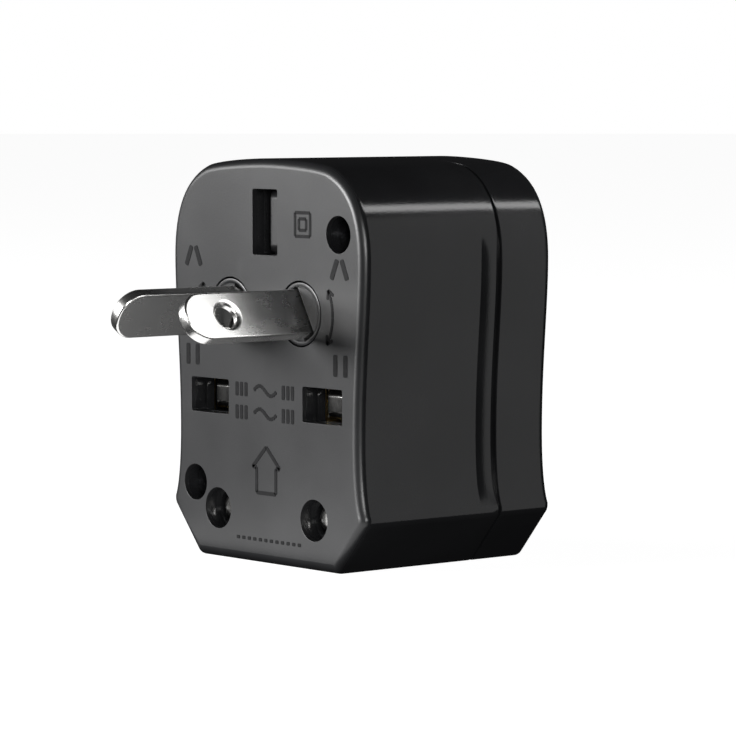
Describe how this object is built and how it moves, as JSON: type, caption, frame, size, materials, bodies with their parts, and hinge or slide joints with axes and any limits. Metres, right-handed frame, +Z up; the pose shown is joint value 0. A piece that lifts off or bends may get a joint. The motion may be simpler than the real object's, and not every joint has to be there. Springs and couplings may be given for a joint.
{
  "type": "universal travel adapter",
  "caption": "Pocket travel adapter with folding flat blades, slide-out rectangular and round pins, slider knobs and a multi-standard socket.",
  "frame": {"origin": "middle of the flat base, on the surface it stands on", "axes": "+Z up, -Y out of the plug face with the blades, +Y out of the socket face, +X to the right seen from the plug side"},
  "size_m": [0.0384, 0.0491, 0.0506],
  "materials": {
    "case": "satin grey-black moulded plastic",
    "inner_plastic": "black nylon",
    "socket_plastic": "fine textured black plastic",
    "knob_plastic": "light grey moulded plastic",
    "nickel": "bright nickel plating",
    "brass": "stamped brass",
    "steel": "zinc-plated steel",
    "lens": "clear red lens"
  },
  "bodies": {
    "housing": {"rear_housing": "case", "front_housing": "case", "socket_plate": "socket_plastic", "indicator_lens": "lens", "live_plate": "brass", "neutral_plate": "brass", "live_clip": "brass", "neutral_clip": "brass", "screw_upper": "steel", "screw_lower": "steel"},
    "us_au_set": {"us_au_carrier": "inner_plastic", "knob_spring_us_au": "steel"},
    "blade_left": {"blade_left": "nickel", "blade_hub_left": "brass"},
    "blade_right": {"blade_right": "nickel", "blade_hub_right": "brass"},
    "collar_left": {"blade_collar_left": "case"},
    "collar_right": {"blade_collar_right": "case"},
    "uk_set": {"uk_carrier": "inner_plastic", "uk_live_pin": "nickel", "uk_neutral_pin": "nickel", "uk_earth_pin": "inner_plastic", "knob_spring_uk": "steel"},
    "eu_set": {"eu_carrier": "inner_plastic", "eu_pin_left": "nickel", "eu_pin_right": "nickel", "eu_sleeve_left": "inner_plastic", "eu_sleeve_right": "inner_plastic", "knob_spring_eu": "steel"},
    "us_au_knob": {"knob_us_au": "knob_plastic"},
    "uk_knob": {"knob_uk": "knob_plastic"},
    "eu_knob": {"knob_eu": "knob_plastic"}
  },
  "joints": [
    {"name": "us_au_slide", "type": "slide", "parent": "housing", "child": "us_au_set", "axis": [0, -1, 0], "range_m": [-0.0183, 0]},
    {"name": "uk_slide", "type": "slide", "parent": "housing", "child": "uk_set", "axis": [0, -1, 0], "range_m": [0, 0.0205]},
    {"name": "eu_slide", "type": "slide", "parent": "housing", "child": "eu_set", "axis": [0, -1, 0], "range_m": [0, 0.021]},
    {"name": "blade_left_twist", "type": "hinge", "parent": "us_au_set", "child": "blade_left", "pos_m": [-0.00685, -0.0092, 0.0316], "axis": [0, 1, 0], "range_deg": [-30, 0]},
    {"name": "blade_right_twist", "type": "hinge", "parent": "us_au_set", "child": "blade_right", "pos_m": [0.00685, -0.0092, 0.0316], "axis": [0, 1, 0], "range_deg": [0, 30]},
    {"name": "collar_left_turn", "type": "hinge", "parent": "housing", "child": "collar_left", "pos_m": [-0.00685, -0.0092, 0.0316], "axis": [0, 1, 0], "range_deg": [-30, 0]},
    {"name": "collar_right_turn", "type": "hinge", "parent": "housing", "child": "collar_right", "pos_m": [0.00685, -0.0092, 0.0316], "axis": [0, 1, 0], "range_deg": [0, 30]},
    {"name": "us_au_knob_press", "type": "slide", "parent": "us_au_set", "child": "us_au_knob", "axis": [1, 0, 0], "range_m": [0, 0.001], "stiffness_N_per_m": 400, "springref_m": -0.0005, "deforming": ["knob_spring_us_au"]},
    {"name": "uk_knob_press", "type": "slide", "parent": "uk_set", "child": "uk_knob", "axis": [1, 0, 0], "range_m": [0, 0.001], "stiffness_N_per_m": 400, "springref_m": -0.0005, "deforming": ["knob_spring_uk"]},
    {"name": "eu_knob_press", "type": "slide", "parent": "eu_set", "child": "eu_knob", "axis": [1, 0, 0], "range_m": [0, 0.001], "stiffness_N_per_m": 400, "springref_m": -0.0005, "deforming": ["knob_spring_eu"]}
  ],
  "couplings": [
    {"joint": "collar_left_turn", "follows": "blade_left_twist", "ratio": 1},
    {"joint": "collar_right_turn", "follows": "blade_right_twist", "ratio": 1}
  ]
}
